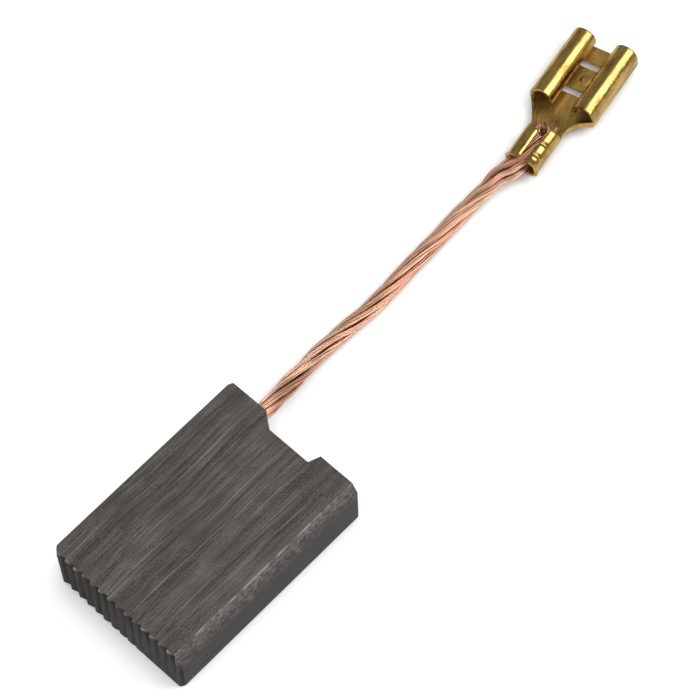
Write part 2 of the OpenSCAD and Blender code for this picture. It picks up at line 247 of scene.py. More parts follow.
    # Painted highlight: a thin bright line where the wide face ends, and along the tips of the
    # teeth, on the top edges
    off_line = add(tree, "ShaderNodeMath", {
        0: xyz[1], 1: (BLOCK_LOW.y + 0.72) * MM}, operation="SUBTRACT")
    near_line = add(tree, "ShaderNodeMath", {0: off_line.outputs[0]}, operation="ABSOLUTE")
    on_line = add(tree, "ShaderNodeMapRange", {
        0: near_line.outputs[0], 1: 0.13 * MM, 2: 0.04 * MM})
    at_tip = add(tree, "ShaderNodeMapRange", {
        0: xyz[0], 1: (BLOCK_LOW.x + 0.22) * MM, 2: (BLOCK_LOW.x + 0.1) * MM})
    both_lines = add(tree, "ShaderNodeMath", {
        0: on_line.outputs[0], 1: at_tip.outputs[0]}, operation="MAXIMUM")
    on_top = add(tree, "ShaderNodeMapRange", {
        0: xyz[2], 1: (BLOCK_HIGH.z - 0.2) * MM, 2: (BLOCK_HIGH.z - 0.08) * MM})
    edge_line = add(tree, "ShaderNodeMath", {
        0: both_lines.outputs[0], 1: on_top.outputs[0]}, operation="MULTIPLY")
    broken = add(tree, "ShaderNodeMapRange", {
        0: ragged.outputs[0], 1: 0.42, 2: 0.6, 3: 0.1, 4: 0.9})
    edge_highlight = add(tree, "ShaderNodeMath", {
        0: edge_line.outputs[0], 1: broken.outputs[0]}, operation="MULTIPLY")
    # The rubbed strip's wear together with the painted edge highlight
    wear_and_highlight_mask = add(tree, "ShaderNodeMath", {
        0: worn.outputs[0], 1: edge_highlight.outputs[0]}, operation="MAXIMUM")
    wear_and_highlight = add(tree, "ShaderNodeMix", {
        0: wear_and_highlight_mask.outputs[0], 6: fronted.outputs[2], 7: rgba(colours.worn)}, data_type="RGBA")
    tree.links.new(wear_and_highlight.outputs[2], shader.inputs["Base Color"])

    rough = add(tree, "ShaderNodeMapRange", {
        0: tone.outputs[0], 3: 0.5, 4: 0.68})
    tree.links.new(rough.outputs[0], shader.inputs["Roughness"])
    shader.inputs["Specular IOR Level"].default_value = 0.16
    relief = add(tree, "ShaderNodeMath", {0: fine.outputs[0], 1: grain.outputs[0]})
    bump = add(tree, "ShaderNodeBump", {
        "Height": relief.outputs[0], "Strength": 0.5, "Distance": 0.04 * MM})
    tree.links.new(bump.outputs[0], shader.inputs["Normal"])
    return material


def copper(colours):
    """Bare drawn copper wire: bright and pink where it is clean, brown in tarnished patches and, as
    painted shade, brown in the crevices between the strands.
    """
    material, tree, shader = start_material("bare_drawn_copper")
    deep = add(tree, "ShaderNodeAttribute", attribute_name="depth")
    wire = add(tree, "ShaderNodeAttribute", attribute_name="wire")
    place = add(tree, "ShaderNodeTexCoord").outputs["Object"]
    clean = add(tree, "ShaderNodeMix", {
        0: wire.outputs["Fac"], 6: rgba(colours.pale), 7: rgba(colours.pink)}, data_type="RGBA")
    # Tarnish in patches 1.2 mm long, added to painted shade that darkens the wires lying deep in
    # the rope, between the strands
    patch = add(tree, "ShaderNodeTexNoise", {"Vector": place, "Scale": 800.0, "Detail": 2.0})
    tarnish_and_shade = add(tree, "ShaderNodeMath", {
        0: patch.outputs[0], 1: 0.5, 2: deep.outputs["Fac"]}, operation="MULTIPLY_ADD")
    dull = add(tree, "ShaderNodeMapRange", {0: tarnish_and_shade.outputs[0], 1: 0.6, 2: 1.1})
    tone = add(tree, "ShaderNodeMix", {
        0: dull.outputs[0], 6: clean.outputs[2], 7: rgba(colours.tarnish_and_crevice_shade)}, data_type="RGBA")
    tree.links.new(tone.outputs[2], shader.inputs["Base Color"])
    shader.inputs["Metallic"].default_value = 1.0
    shader.inputs["Roughness"].default_value = 0.38
    return material


def brass(colours, name, gloss):
    """Rolled and stamped brass sheet: the outside is burnished by the forming dies, with
    faint drawn lines along its length and a rough rubbed band, and the inside is satin."""
    material, tree, shader = start_material(name)
    place = add(tree, "ShaderNodeTexCoord").outputs["Object"]
    along = add(tree, "ShaderNodeMapping", {
        "Vector": place, "Location": tuple(TERMINAL.translation * MM),
        "Rotation": (-TERMINAL_LEAN, 0, TERMINAL_TURN)}, vector_type="TEXTURE")
    # Drawn lines 0.11 mm wide and 4 mm long, and stains 2 mm long and 0.7 mm across
    drawn = add(tree, "ShaderNodeMapping", {
        "Vector": along.outputs[0], "Scale": (250, 9000, 9000)})
    lines = add(tree, "ShaderNodeTexNoise", {
        "Vector": drawn.outputs[0], "Scale": 1.0, "Detail": 3.0, "Roughness": 0.6})
    stained = add(tree, "ShaderNodeMapping", {
        "Vector": along.outputs[0], "Scale": (500, 1500, 1500)})
    stain = add(tree, "ShaderNodeTexNoise", {
        "Vector": stained.outputs[0], "Scale": 1.0, "Detail": 4.0, "Roughness": 0.65})
    dirty = add(tree, "ShaderNodeMapRange", {
        0: stain.outputs[0], 1: 0.42, 2: 0.66, 3: 0.0, 4: 0.8})
    tone = add(tree, "ShaderNodeMix", {
        0: dirty.outputs[0], 6: rgba(colours.gold), 7: rgba(colours.olive)}, data_type="RGBA")
    tree.links.new(tone.outputs[2], shader.inputs["Base Color"])
    shader.inputs["Metallic"].default_value = 1.0
    both = add(tree, "ShaderNodeMath", {0: lines.outputs[0], 1: stain.outputs[0]})
    rough = add(tree, "ShaderNodeMapRange", {
        0: both.outputs[0], 1: 0.7, 2: 1.3, 3: gloss, 4: gloss + 0.16})
    tree.links.new(rough.outputs[0], shader.inputs["Roughness"])
    # Galled band high on the right roll, with pits 0.3 mm across
    local = add(tree, "ShaderNodeSeparateXYZ", {0: along.outputs[0]}).outputs
    right_roll = add(tree, "ShaderNodeMapRange", {0: local[1], 1: -3.0 * MM, 2: -3.3 * MM})
    high = add(tree, "ShaderNodeMapRange", {0: local[2], 1: 0.8 * MM, 2: 1.2 * MM})
    galled = add(tree, "ShaderNodeMath", {
        0: right_roll.outputs[0], 1: high.outputs[0]}, operation="MULTIPLY")
    pits = add(tree, "ShaderNodeTexNoise", {
        "Vector": along.outputs[0], "Scale": 3500.0, "Detail": 2.0})
    pitted = add(tree, "ShaderNodeMath", {
        0: pits.outputs[0], 1: galled.outputs[0]}, operation="MULTIPLY")
    height = add(tree, "ShaderNodeMath", {
        0: pitted.outputs[0], 1: 6.0, 2: both.outputs[0]}, operation="MULTIPLY_ADD")
    bump = add(tree, "ShaderNodeBump", {
        "Height": height.outputs[0], "Strength": 0.4, "Distance": 0.01 * MM})
    tree.links.new(bump.outputs[0], shader.inputs["Normal"])
    return material


def tamped_powder(colours):
    """Tamped copper powder: dull brown, with bright grains about 0.1 mm across."""
    material, tree, shader = start_material("tamped_copper_powder")
    place = add(tree, "ShaderNodeTexCoord").outputs["Object"]
    grain = add(tree, "ShaderNodeTexNoise", {"Vector": place, "Scale": 10000.0, "Detail": 2.0})
    spot = add(tree, "ShaderNodeMapRange", {0: grain.outputs[0], 1: 0.4, 2: 0.7})
    tone = add(tree, "ShaderNodeMix", {
        0: spot.outputs[0], 6: rgba(colours.dull), 7: rgba(colours.grain)}, data_type="RGBA")
    tree.links.new(tone.outputs[2], shader.inputs["Base Color"])
    shader.inputs["Metallic"].default_value = 0.6
    shader.inputs["Roughness"].default_value = 0.6
    bump = add(tree, "ShaderNodeBump", {
        "Height": grain.outputs[0], "Strength": 0.6, "Distance": 0.05 * MM})
    tree.links.new(bump.outputs[0], shader.inputs["Normal"])
    return material


def white_floor(colour):
    """White card that stays white behind the object and still takes its shadow."""
    material, tree, shader = start_material("white_card")
    shader.inputs["Base Color"].default_value = rgba(colour)
    shader.inputs["Roughness"].default_value = 0.9
    shader.inputs["Specular IOR Level"].default_value = 0.0
    rays = add(tree, "ShaderNodeLightPath").outputs
    mirrored = add(tree, "ShaderNodeMath", {
        0: rays["Is Glossy Ray"], 1: 0.15}, operation="MULTIPLY")
    seen = add(tree, "ShaderNodeMath", {
        0: rays["Is Camera Ray"], 1: mirrored.outputs[0]}, operation="MAXIMUM")
    shown = add(tree, "ShaderNodeMath", {
        0: seen.outputs[0], 1: rays["Is Transmission Ray"]}, operation="MAXIMUM")
    # Under the object's edges the card's own brightness fades, which keeps the shadow there
    near = add(tree, "ShaderNodeAmbientOcclusion", {"Distance": 2.5 * MM}, samples=16)
    open_f = add(tree, "ShaderNodeMapRange", {
        0: near.outputs["AO"], 1: 0.3, 2: 0.95, 3: 0.05, 4: 0.5})
    glow = add(tree, "ShaderNodeMath", {
        0: shown.outputs[0], 1: open_f.outputs[0]}, operation="MULTIPLY")
    shader.inputs["Emission Color"].default_value = (1, 1, 1, 1)
    tree.links.new(glow.outputs[0], shader.inputs["Emission Strength"])
    return material


# ---------------------------------------------------------------- modelling helpers

def clear_selection():
    if bpy.context.object and bpy.context.object.mode != "OBJECT":
        bpy.ops.object.mode_set(mode="OBJECT")
    bpy.ops.object.select_all(action="DESELECT")


def pick(piece):
    clear_selection()
    piece.select_set(True)
    bpy.context.view_layer.objects.active = piece


def apply_modifiers(piece):
    pick(piece)
    for modifier in list(piece.modifiers):
        bpy.ops.object.modifier_apply(modifier=modifier.name)


def arc(cy, cz, r, start, end, steps):
    """Points on an arc of a section, both ends included, with angles in degrees."""
    return [
        (cy + r * math.cos(math.radians(start + (end - start) * k / steps)),
         cz + r * math.sin(math.radians(start + (end - start) * k / steps)))
        for k in range(steps + 1)
    ]


def line(a, b, steps):
    """Points of a straight run after a, up to and with b."""
    return [
        (a[0] + (b[0] - a[0]) * k / steps, a[1] + (b[1] - a[1]) * k / steps)
        for k in range(1, steps + 1)
    ]


# ---------------------------------------------------------------- receptacle

# Sizes of the bent sheet's outer surface, in millimetres in the terminal's own frame.
SHEET = 0.35
SOCKET_X, SOCKET_L, SOCKET_H, ROLL_R = 7.6, 8.4, 2.7, 1.25
LIP_H = 0.82
SLOT_L, SLOT_HALF, BRIDGE_L, REAR_L = 0.8, 2.0, 2.65, 2.35
DIMPLE_R, DIMPLE_H = 0.6, 0.14
NECK_FLARE_LEFT, NECK_FLARE_RIGHT, NECK_WAIST = 1.3, 3.2, 0.2
CRIMP_WALL, NECK_WALL = 1.02, 1.05
BARREL_L, BARREL_H, BARREL_HALF, BARREL_BEND = 4.4, 2.4, 1.7, 0.95
BELL, BELL_L = 0.1, 0.6
LEFT_SHOULDER_R, RIGHT_SHOULDER_R = 0.8, 1
WING_TIP_R, WING_TIP_CURL, LEFT_EDGE_Y = 0.5, 45, 0.2
RIGHT_EDGE_BACK, RIGHT_EDGE_SPREAD = 0.5, 0.4
WING_SLANT_LEFT, WING_SLANT_RIGHT = 0.9, 0.3
MARK_PLACES, MARK_DEPTH, MARK_HALF_L = (0.26, 0.6), 0.35, 0.28

# Columns of the flat grid that each part of a section takes.
WING, BEND, WALL, FLOOR = 30, 8, 2, 60


def socket_section(x):
    """Outer line across the socket at any x: lip, roll, wall, bend, floor, and back up."""
    roll_y, roll_z = SOCKET_HALF - ROLL_R, SOCKET_H - ROLL_R
    lip = 180 + math.degrees(math.asin((roll_z - SHEET - LIP_H) / ROLL_R))
    roll = arc(roll_y, roll_z, ROLL_R, lip, 0, WING - 2)
    left = roll + line(roll[-1], (SOCKET_HALF, NECK_WALL), 2)
    left += line(left[-1], (SOCKET_HALF, BEND_R), WALL)
    left += arc(SOCKET_HALF - BEND_R, BEND_R, BEND_R, 0, -90, BEND)[1:]
    right = [(-y, z) for y, z in reversed(left)]
    return left + line(left[-1], right[0], FLOOR) + right[1:]


def neck_section(x):
    """Outer line across the neck, with its wings folded to no width."""
    s = (x - BARREL_L) / (SOCKET_X - BARREL_L)
    wide = SOCKET_HALF - BARREL_HALF
    waist = NECK_WAIST * math.sin(math.pi * s) * (1 - s)
    left_half = BARREL_HALF + wide * s ** NECK_FLARE_LEFT
    right_half = BARREL_HALF + wide * s ** NECK_FLARE_RIGHT - waist
    r = BARREL_BEND + (BEND_R - BARREL_BEND) * s
    wall = CRIMP_WALL + (NECK_WALL - CRIMP_WALL) * s
    left = [(left_half, wall)] * (WING + 1) + line((left_half, wall), (left_half, r), WALL)
    left += arc(left_half - r, r, r, 0, -90, BEND)[1:]
    right = [(-right_half, wall)] * (WING + 1)
    right += line((-right_half, wall), (-right_half, r), WALL)
    right += arc(r - right_half, r, r, -180, -90, BEND)[1:]
    right.reverse()
    return left + line(left[-1], right[0], FLOOR) + right[1:]


def tool_mark(x):
    """How far the crimping tool has pushed the right shoulder in."""
    near = max(max(0, 1 - abs(x - m * BARREL_L) / MARK_HALF_L) for m in MARK_PLACES)
    return MARK_DEPTH * near ** 0.7


def barrel_section(x):
    """Outer line across the crimp, whose two wings curl over the rope."""
    opened = BELL * max(0, 1 - x / BELL_L) ** 2
    half, top = BARREL_HALF + opened, BARREL_H + opened
    mark_r = RIGHT_SHOULDER_R + tool_mark(x)
    right_edge = RIGHT_EDGE_BACK + RIGHT_EDGE_SPREAD * x / BARREL_L
    curl = math.degrees(math.asin((half - mark_r - right_edge) / mark_r))
    tip_y = LEFT_EDGE_Y + WING_TIP_R * math.sin(math.radians(WING_TIP_CURL))
    shoulder_y, shoulder_z = half - LEFT_SHOULDER_R, top - LEFT_SHOULDER_R
    left = arc(tip_y, top - WING_TIP_R, WING_TIP_R, 90 + WING_TIP_CURL, 90, 8)
    left += line(left[-1], (shoulder_y, top), 6)
    left += arc(shoulder_y, shoulder_z, LEFT_SHOULDER_R, 90, 0, 12)[1:]
    left += line(left[-1], (half, CRIMP_WALL), 4)
    left += line(left[-1], (half, BARREL_BEND), WALL)
    left += arc(half - BARREL_BEND, BARREL_BEND, BARREL_BEND, 0, -90, BEND)[1:]
    right = arc(mark_r - half, top - mark_r, mark_r, -270 - curl, -180, WING - 4)
    right += line(right[-1], (-half, CRIMP_WALL), 4)
    right += line(right[-1], (-half, BARREL_BEND), WALL)
    right += arc(BARREL_BEND - half, BARREL_BEND, BARREL_BEND, -180, -90, BEND)[1:]
    right.reverse()
    return left + line(left[-1], right[0], FLOOR) + right[1:]


def spaced(a, b, n):
    return [a + (b - a) * k / n for k in range(n)]


def receptacle_rows():
    """Stations along the sheet, with lines where the slots are cut."""
    first = SOCKET_X + REAR_L
    cuts = [first, first + SLOT_L, first + SLOT_L + BRIDGE_L, first + 2 * SLOT_L + BRIDGE_L]
    rows = [(x, "crimp") for x in spaced(0, BARREL_L, 44)]
    rows += [(x, "neck") for x in spaced(BARREL_L, SOCKET_X, 30)]
    rows += [(x, "socket") for x in spaced(SOCKET_X, cuts[0], 16)]
    rows += [(x, "slot") for x in spaced(cuts[0], cuts[1], 4)]
    rows += [(x, "socket") for x in spaced(cuts[1], cuts[2], 26)]
    rows += [(x, "slot") for x in spaced(cuts[2], cuts[3], 4)]
    rows += [(x, "socket") for x in spaced(cuts[3], SOCKET_X + SOCKET_L, 12)]
    rows.append((SOCKET_X + SOCKET_L, "end"))
    return rows, (cuts[1] + cuts[2]) / 2


def slant_wings(rows, points):
    """Cuts the crimp's wings back at a slant towards its front."""
    n_cols = len(points[0])
    for i, (x, zone) in enumerate(rows):
        first_neck = zone == "neck" and rows[i - 1][1] == "crimp"
        if zone != "crimp" and not first_neck:
            continue
        wing = barrel_section(min(x, BARREL_L)) if first_neck else None
        for j in range(WING + 1):
            for col, slant in ((j, WING_SLANT_LEFT), (n_cols - 1 - j, WING_SLANT_RIGHT)):
                y, z = wing[col] if wing else points[i][col][1:]
                points[i][col] = (x * (1 - slant * (1 - j / WING) / BARREL_L), y, z)


def cut_away(zone, j, n_cols, y):
    """Whether the blank has no metal in a grid face: beside the neck, or in a slot."""
    edge = WING + WALL + BEND
    beside = zone == "neck" and (j < WING or j >= n_cols - 1 - WING)
    on_floor = edge <= j < n_cols - 1 - edge
    return beside or (zone == "slot" and on_floor and abs(y) < SLOT_HALF)


def make_receptacle():
    """One sheet, bent from a flat grid: crimp, flared neck and rolled socket."""
    rows, bridge_x = receptacle_rows()
    sections = {"crimp": barrel_section, "neck": neck_section}
    points = [[(x, y, z) for y, z in sections.get(zone, socket_section)(x)] for x, zone in rows]
    n_cols, n_rows = len(points[0]), len(rows)
    slant_wings(rows, points)
    clear_selection()
    bpy.ops.mesh.primitive_grid_add(
        x_subdivisions=n_cols - 1, y_subdivisions=n_rows - 1, size=1)
    piece = bpy.context.object
    piece.name = "brass_receptacle"
    mesh = piece.data
    for v in mesh.vertices:
        i, j = divmod(v.index, n_cols)
        x, y, z = points[i][j]
        if abs(z) < 1e-6:
            r2 = (x - bridge_x) ** 2 + y ** 2
            if r2 < DIMPLE_R ** 2:
                z += DIMPLE_H * (1 - r2 / DIMPLE_R ** 2)
        v.co = TERMINAL @ Vector((x, y, z)) * MM
    bpy.ops.object.mode_set(mode="EDIT")
    bpy.ops.mesh.select_all(action="DESELECT")
    bpy.ops.object.mode_set(mode="OBJECT")
    for face in mesh.polygons:
        i, j = divmod(min(face.vertices), n_cols)
        y = (points[i][j][1] + points[i][j + 1][1]) / 2
        face.select = cut_away(rows[i][1], j, n_cols, y)
    bpy.ops.object.mode_set(mode="EDIT")
    bpy.ops.mesh.delete(type="FACE")
    bpy.ops.mesh.select_all(action="SELECT")
    bpy.ops.mesh.remove_doubles(threshold=0.0001 * MM)
    bpy.ops.mesh.normals_make_consistent(inside=False)
    bpy.ops.object.mode_set(mode="OBJECT")
    return piece


def outward(piece, point, direction):
    """Turns the sheet's normals over if the face nearest to a point looks the wrong way."""
    near = min(piece.data.polygons, key=lambda f: (f.center - point).length)
    if near.normal.dot(direction) < 0:
        pick(piece)
        bpy.ops.object.mode_set(mode="EDIT")
        bpy.ops.mesh.select_all(action="SELECT")
        bpy.ops.mesh.flip_normals()
        bpy.ops.object.mode_set(mode="OBJECT")


# ---------------------------------------------------------------- rope

# Sizes of the rope, in millimetres, that its settings don't hold.
KNOT_STEPS = 24
STATION = 0.33
STRAND_RING_R = 0.575
TUBE_SIDES = 5


def unit(vectors):
    return vectors / np.linalg.norm(vectors, axis=1)[:, None]


def smooth(a, b, x):
    """0 before a, 1 after b, and an even turn between them."""
    t = np.clip((x - a) / (b - a), 0, 1)
    return t * t * (3 - 2 * t)


def wander(s, rng, wave, amount):
    """Slow smooth wobble along the rope."""
    total = np.zeros_like(s)
    for k in range(3):
        size = rng.uniform(-1, 1)
        total += size * np.sin(
            2 * math.pi * s / (wave * (0.6 + 0.5 * k)) + rng.uniform(0, 7))
    return amount * total


def rope_knots():
    """Points that the rope's middle passes through, from inside the block to its end."""
    knots = [Vector((ROPE_EXIT.x + x, ROPE_EXIT.y + y, z)) for x, y, z in ROPE_ROUTE]
    knots += [TERMINAL @ Vector((u, v, CRIMP_AXIS_H)) for u, v in ROPE_IN_CRIMP]
    knots.append(TERMINAL @ Vector((5.4, -0.2, CRIMP_AXIS_H)))
    return np.array([list(k) for k in knots])


def rope_centreline():
    """Evenly spaced points of the rope's middle, in millimetres, with their arc length
    from the exit, the left and up directions of the rope's section, and the arc length
    at which the crimp begins."""
    knots = rope_knots()
    dense = []
    for i in range(len(knots) - 1):
        p0, p1 = knots[max(i - 1, 0)], knots[i]
        p2, p3 = knots[i + 1], knots[min(i + 2, len(knots) - 1)]
        for k in range(KNOT_STEPS):
            t = k / KNOT_STEPS
            dense.append(0.5 * (2 * p1 + (p2 - p0) * t + (2 * p0 - 5 * p1 + 4 * p2 - p3) * t * t
                                + (3 * p1 - p0 - 3 * p2 + p3) * t ** 3))
    dense.append(knots[-1])
    dense = np.array(dense)
    length = np.concatenate([[0], np.cumsum(np.linalg.norm(np.diff(dense, axis=0), axis=1))])
    exit_length = length[KNOT_STEPS]
    even = np.arange(0, length[-1], STATION)
    middle = np.stack([np.interp(even, length, dense[:, c]) for c in range(3)], axis=1)
    tangent = unit(np.gradient(middle, axis=0))
    s = even - exit_length
    crimp_s = length[KNOT_STEPS * len(ROPE_ROUTE)] - exit_length - ROPE_IN_CRIMP[0][0]
    # The section turns over the last 4 mm to stand square in the leaning crimp
    share = np.clip((s - crimp_s + 4) / 4, 0, 1)[:, None]
    crimp_left = np.array(TERMINAL.to_3x3() @ Vector((0, 1, 0)))
    left = unit(np.cross([0, 0, 1], tangent)) * (1 - share) + crimp_left * share
    left = unit(left - tangent * np.sum(left * tangent, axis=1)[:, None])
    return middle, s, left, np.cross(tangent, left), crimp_s


def frayed(u, rng):
    """Sideways and upward drift of a wire's loose end past the crimp."""
    past = np.clip(u - 3.0, 0, None)
    spread, lift = rng.uniform(-0.25, 0.55), rng.uniform(-0.1, 0.3)
    hook, phase = rng.uniform(0, 0.28), rng.uniform(0, 6)
    sideways = past * spread + hook * past * np.sin(past * 4 + phase)
    return sideways, past * lift + hook * past * np.cos(past * 4 + phase)


def wire_tube(pts, up, radius, first):
    """Vertices, in millimetres, and faces of a capped tube whose vertices start at first."""
    angles = np.arange(TUBE_SIDES) * 2 * math.pi / TUBE_SIDES
    tangent = unit(np.gradient(pts, axis=0))
    side = unit(np.cross(tangent, up))
    top = np.cross(side, tangent)
    ring = pts[:, None, :] + radius * (
        np.cos(angles)[None, :, None] * side[:, None, :]
        + np.sin(angles)[None, :, None] * top[:, None, :])
    faces = []
    for i in range(len(pts) - 1):
        low = first + i * TUBE_SIDES
        for k in range(TUBE_SIDES):
            m = (k + 1) % TUBE_SIDES
            faces.append((low + k, low + m, low + TUBE_SIDES + m, low + TUBE_SIDES + k))
    last = first + (len(pts) - 1) * TUBE_SIDES
    faces.append(tuple(first + k for k in reversed(range(TUBE_SIDES))))
    faces.append(tuple(last + k for k in range(TUBE_SIDES)))
    return ring.reshape(-1, 3), faces


def make_rope(sizes):
    """Strands of wires laid round a core strand, and the path of the rope's middle."""
    rng = np.random.default_rng(7)
    middle, s, left, up, crimp_s = rope_centreline()
    lay, wire_r = sizes.lay / MM, sizes.wire_r / MM
    strands, wires = sizes.strands, sizes.wires
    strand_r = wire_r / math.sin(math.pi / wires) * 0.95
    u = s - crimp_s
    # The rope spreads a little past its exit, and is pressed wide and low in the crimp
    flat = smooth(-4.5, 0.3, u)
    wide = 1 + 0.42 * flat + 0.12 * smooth(0, 2.5, s) * (1 - smooth(4, 8, s))
    high = 1 - 0.1 * flat
    # It swings left before the crimp
    aside = 0.28 * smooth(-7, -3, u) * (1 - smooth(-1, 1, u))
    verts, faces, depth, wire = [], [], [], []
    for b in range(strands + 1):
        is_core = b == strands
        spin = 2 * math.pi * (b / strands + s / lay) + wander(s, rng, 11, 0.12)
        out = (0 if is_core else STRAND_RING_R) * (1 + wander(s, rng, 7, 0.05))
        for w in range(wires):
            turn = 2 * math.pi * (w / wires + s / (lay * 0.8)) + rng.uniform(-0.2, 0.2)
            reach = strand_r * (1 + wander(s, rng, 3.5, 0.06))
            a = out * np.cos(spin) + reach * np.cos(turn)
            c = out * np.sin(spin) + reach * np.sin(turn)
            dist = np.hypot(a, c)
            stop = np.searchsorted(u, rng.uniform(3.4, 5.2))
            sideways, upward = frayed(u, rng)
            sideways, upward = sideways + a * wide + aside, upward + c * high
            pts = (middle + left * sideways[:, None] + up * upward[:, None])[:stop]
            ring, tube = wire_tube(pts, up[:stop], wire_r, len(verts))
            verts.extend((ring * MM).tolist())
            faces.extend(tube)
            # How deep the wire lies in the rope, which the copper uses for painted shade between
            # the strands
            deep = np.clip(1 - (dist[:stop] - 0.35) / 0.5, 0, 1)
            depth.extend(np.repeat(deep, TUBE_SIDES).tolist())
            wire.extend([rng.uniform(0, 1)] * len(ring))
    mesh = bpy.data.meshes.new("copper_rope")
    mesh.from_pydata(verts, [], faces)
    for name, values in (("depth", depth), ("wire", wire)):
        mesh.attributes.new(name, "FLOAT", "POINT").data.foreach_set("value", values)
    mesh.shade_smooth()
    piece = bpy.data.objects.new("copper_rope", mesh)
    bpy.context.collection.objects.link(piece)
    keep = (s >= -1.5) & (u <= BARREL_L)
    return piece, [tuple(p * MM) for p in middle[keep]]


# ---------------------------------------------------------------- settings

class GraphiteSettings(bpy.types.PropertyGroup):
    edge: bpy.props.FloatProperty(
        name="Edge rounding", description="Radius that handling has given the block's edges",
        default=0.06 * MM, min=0.01 * MM, max=0.2 * MM, precision=5, unit="LENGTH")
    dark: bpy.props.FloatVectorProperty(
        name="Scratches", description="Colour between the ground ridges",
        subtype="COLOR", default=linear("#2c2927"))
    light: bpy.props.FloatVectorProperty(
        name="Ridges", description="Colour of the ground ridges",
        subtype="COLOR", default=linear("#79756f"))
    tint: bpy.props.FloatVectorProperty(
        name="Clouds", description="Colour of the brownish clouds",
        subtype="COLOR", default=linear("#4c443d"))
    # Painted shade: the side facing -Y is drawn in this darker colour
    side: bpy.props.FloatVectorProperty(
        name="Burnished side", description="Colour of the side that the holder rubs",
        subtype="COLOR", default=linear("#3a3638"))
    # Painted shade deep in the grooves of the contact face
    front: bpy.props.FloatVectorProperty(
        name="Contact face", description="Colour of the toothed face",
        subtype="COLOR", default=linear("#151413"))
    tips: bpy.props.FloatVectorProperty(
        name="Tooth tips", description="Colour of the tips of the teeth",
        subtype="COLOR", default=linear("#464240"))
    # Also the colour of the painted highlight along the top edges
    worn: bpy.props.FloatVectorProperty(
        name="Worn edge", description="Colour of the rubbed strip on the long edge",
        subtype="COLOR", default=linear("#a09d98"))


class RopeSettings(bpy.types.PropertyGroup):
    strands: bpy.props.IntProperty(
        name="Strands", description="Strands laid round the core", default=6, min=3, max=12)
    wires: bpy.props.IntProperty(
        name="Wires", description="Wires that show in each strand", default=8, min=4, max=16)
    wire_r: bpy.props.FloatProperty(
        name="Wire radius", description="Radius of one wire",
        default=0.08 * MM, min=0.02 * MM, max=0.2 * MM, precision=5, unit="LENGTH")
    lay: bpy.props.FloatProperty(
        name="Lay", description="Length in which a strand goes once round the rope",
        default=24 * MM, min=5 * MM, max=80 * MM, precision=4, unit="LENGTH")
    pale: bpy.props.FloatVectorProperty(
        name="Pale wire", description="Lightest wire", subtype="COLOR", default=linear("#f7d6bb"))
    pink: bpy.props.FloatVectorProperty(
        name="Pink wire", description="Pinkest wire", subtype="COLOR", default=linear("#eeb093"))
    # Colour of the tarnished patches, and of painted shade on the wires deep between the strands
    tarnish_and_crevice_shade: bpy.props.FloatVectorProperty(
        name="Tarnish", description="Wire deep between the strands",
        subtype="COLOR", default=linear("#8a4a30"))


class ReceptacleSettings(bpy.types.PropertyGroup):
    sheet: bpy.props.FloatProperty(
        name="Sheet", description="Thickness of the brass sheet",
        default=SHEET * MM, min=0.1 * MM, max=0.6 * MM, precision=5, unit="LENGTH")
    edge: bpy.props.FloatProperty(
        name="Edge rounding", description="Radius of the sheet's cut edges",
        default=0.05 * MM, min=0.01 * MM, max=0.1 * MM, precision=5, unit="LENGTH")
    gold: bpy.props.FloatVectorProperty(
        name="Brass", description="Clean brass", subtype="COLOR", default=linear("#cfab62"))
    olive: bpy.props.FloatVectorProperty(
        name="Tarnish", description="Tarnished brass", subtype="COLOR", default=linear("#7d6230"))


class PowderSettings(bpy.types.PropertyGroup):
    dull: bpy.props.FloatVectorProperty(
        name="Powder", description="Tamped powder", subtype="COLOR", default=linear("#5a3a2c"))
    grain: bpy.props.FloatVectorProperty(
        name="Grains", description="Bright grains in it", subtype="COLOR",
        default=linear("#b0714f"))


class StageSettings(bpy.types.PropertyGroup):
    card: bpy.props.FloatVectorProperty(
        name="Floor", description="Colour of the floor", subtype="COLOR",
        default=linear("#f4f4f4"))
    lens: bpy.props.FloatProperty(
        name="Lens", description="Focal length of the camera, in millimetres",
        default=164.6, min=20, max=400)
    key: bpy.props.FloatProperty(
        name="Key light", description="Power of the long softbox beside the object",
        default=1.7, min=0, max=20, unit="POWER")
    fill: bpy.props.FloatProperty(
        name="Fill light", description="Power of the square softbox over the object",
        default=1.6, min=0, max=20, unit="POWER")
    ambient: bpy.props.FloatProperty(
        name="Room light", description="Brightness of the room round the object",
        default=0.3, min=0, max=1)


# ---------------------------------------------------------------- operators

class BRUSH_OT_graphite_block(bpy.types.Operator):
    """Round the edges of the carbon block and give it its ground finish"""
    bl_idname = "brush.graphite_block"
    bl_label = "Carbon Block"

    def execute(self, context):
        settings = context.scene.brush_graphite
        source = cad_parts["carbon_block"]
        piece = source.copy()
        piece.data = source.data.copy()
        piece.name = "graphite_block"
        piece.parent = None
        piece.matrix_world = Matrix()
        context.collection.objects.link(piece)
        pick(piece)
        bpy.ops.object.mode_set(mode="EDIT")
        bpy.ops.mesh.select_all(action="SELECT")
        bpy.ops.mesh.remove_doubles(threshold=0.002 * MM)
        bpy.ops.mesh.dissolve_limited(angle_limit=math.radians(1))
        bpy.ops.object.mode_set(mode="OBJECT")
        bevel = piece.modifiers.new("edges", "BEVEL")
        bevel.width, bevel.segments, bevel.limit_method = settings.edge, 2, "ANGLE"
        bevel.angle_limit = math.radians(20)
        apply_modifiers(piece)
        bpy.ops.object.shade_smooth_by_angle(angle=math.radians(35))
        put_material(piece, graphite(settings))
        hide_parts("carbon_block")
        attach(piece, "root")
        return {"FINISHED"}


class BRUSH_OT_tamping(bpy.types.Operator):
    """Give the tamped powder round the rope its grain"""
    bl_idname = "brush.tamping"
    bl_label = "Tamped Powder"

    def execute(self, context):
        put_material(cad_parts["tamping_plug"], tamped_powder(context.scene.brush_powder))
        return {"FINISHED"}


